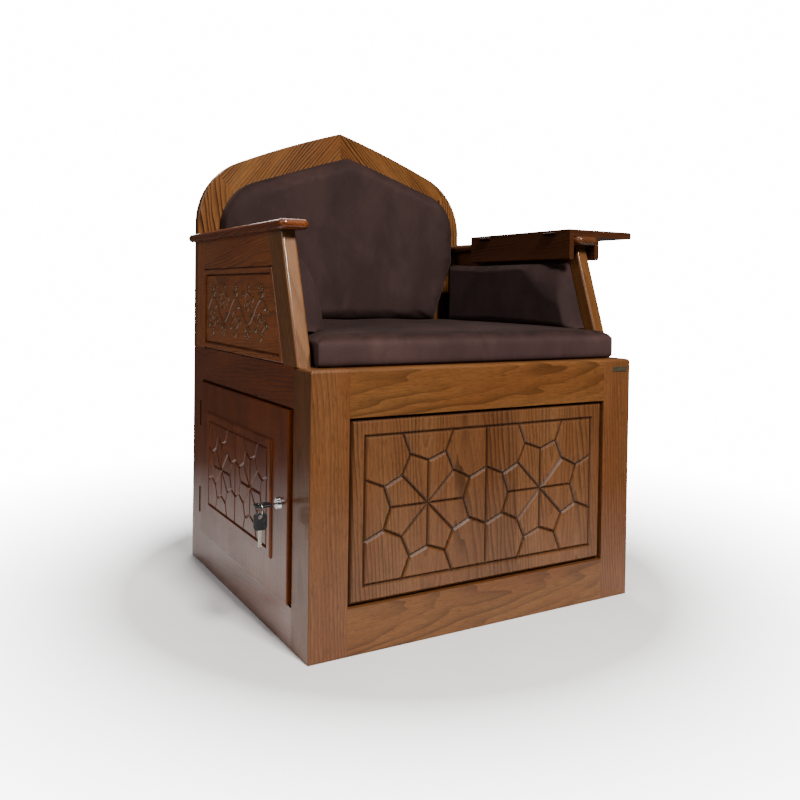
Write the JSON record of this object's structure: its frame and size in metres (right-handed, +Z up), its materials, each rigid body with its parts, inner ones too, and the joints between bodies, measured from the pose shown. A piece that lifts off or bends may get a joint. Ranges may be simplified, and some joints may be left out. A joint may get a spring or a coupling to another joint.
{
  "type": "reciter's armchair with folding book table",
  "caption": "Wooden box-base armchair with a pointed-arch padded back, carved panels, a lockable side door and a sliding fold-out book table on one armrest.",
  "frame": {"origin": "centre of the base's underside, on the floor", "axes": "+X towards the table side (viewer's right from the front), -Y to the front, +Z up"},
  "size_m": [0.9499, 0.7112, 1.072],
  "materials": {
    "lacquered_walnut": "glossy lacquer over a walnut stain",
    "stained_plywood": "stained, satin",
    "brown_velvet": "short-pile velvet",
    "chromed_lock": "polished",
    "nickel_steel": "nickel plated",
    "black_key_plastic": "moulded, satin",
    "bronzed_hinge": "bronzed"
  },
  "bodies": {
    "frame": {"post_front_left": "lacquered_walnut", "post_front_right": "lacquered_walnut", "post_back_left": "lacquered_walnut", "post_back_right": "lacquered_walnut", "front_top_rail": "lacquered_walnut", "front_bottom_rail": "lacquered_walnut", "front_panel": "lacquered_walnut", "left_top_rail": "lacquered_walnut", "left_bottom_rail": "lacquered_walnut", "right_top_rail": "lacquered_walnut", "right_bottom_rail": "lacquered_walnut", "right_side_panel": "lacquered_walnut", "door_stop": "lacquered_walnut", "arm_post_left": "lacquered_walnut", "arm_post_right": "lacquered_walnut", "arm_panel_left": "lacquered_walnut", "arm_panel_right": "lacquered_walnut", "arm_top_rail_left": "lacquered_walnut", "arm_top_rail_right": "lacquered_walnut", "arm_back_post_left": "lacquered_walnut", "arm_back_post_right": "lacquered_walnut", "armrest_left": "lacquered_walnut", "armrest_right": "lacquered_walnut", "arch_stile_left": "lacquered_walnut", "arch_stile_right": "lacquered_walnut", "arch_head_left": "lacquered_walnut", "arch_head_right": "lacquered_walnut", "bottom_panel": "stained_plywood", "seat_deck": "stained_plywood", "base_back_panel": "stained_plywood", "back_board": "stained_plywood", "arm_cushion_left": "brown_velvet", "arm_cushion_right": "brown_velvet", "back_cushion": "brown_velvet", "seat_cushion": "brown_velvet", "badge_plate": "nickel_steel", "hinge_post_leaves": "bronzed_hinge", "hinge_pins": "bronzed_hinge", "hinge_post_screws": "bronzed_hinge"},
    "door": {"door_board": "lacquered_walnut", "door_panel": "lacquered_walnut", "hinge_door_leaves": "bronzed_hinge", "hinge_door_screws": "bronzed_hinge", "lock_body": "chromed_lock", "lock_nut": "chromed_lock"},
    "lock_barrel": {"lock_plug": "chromed_lock", "lock_cam": "chromed_lock"},
    "key": {"key_blade": "nickel_steel", "key_bow": "black_key_plastic"},
    "ring": {"key_ring": "nickel_steel"},
    "spare_key": {"spare_key_bow": "black_key_plastic", "spare_key_blade": "nickel_steel"},
    "table": {"table_cheek_inner": "lacquered_walnut", "table_cheek_outer": "lacquered_walnut", "table_lower_leaf": "lacquered_walnut", "leaf_hinge_fixed": "bronzed_hinge", "leaf_hinge_pins": "bronzed_hinge"},
    "table_leaf": {"table_upper_leaf": "lacquered_walnut", "leaf_hinge_moving": "bronzed_hinge"}
  },
  "joints": [
    {"name": "door_swing", "type": "hinge", "parent": "frame", "child": "door", "pos_m": [-0.384, 0.2725, 0.258], "axis": [0, 0, -1], "range_deg": [0, 105]},
    {"name": "lock_turn", "type": "hinge", "parent": "door", "child": "lock_barrel", "pos_m": [-0.3885, -0.2285, 0.258], "axis": [1, 0, 0], "range_deg": [0, 90]},
    {"name": "key_pull", "type": "slide", "parent": "lock_barrel", "child": "key", "axis": [-1, 0, 0], "range_m": [0, 0.03]},
    {"name": "ring_hang", "type": "hinge", "parent": "key", "child": "ring", "pos_m": [-0.4265, -0.2373, 0.258], "axis": [1, 0, 0], "range_deg": [-90, 0]},
    {"name": "spare_key_swing", "type": "hinge", "parent": "ring", "child": "spare_key", "pos_m": [-0.4265, -0.2373, 0.2422], "axis": [0, 1, 0], "range_deg": [-25, 60]},
    {"name": "table_slide", "type": "slide", "parent": "frame", "child": "table", "axis": [0, -1, 0], "range_m": [-0.08, 0.1]},
    {"name": "table_unfold", "type": "hinge", "parent": "table", "child": "table_leaf", "pos_m": [0.315, -0.0235, 0.7966], "axis": [0, -1, 0], "range_deg": [0, 180]}
  ],
  "couplings": [
    {"joint": "ring_hang", "follows": "lock_turn", "ratio": -1}
  ]
}
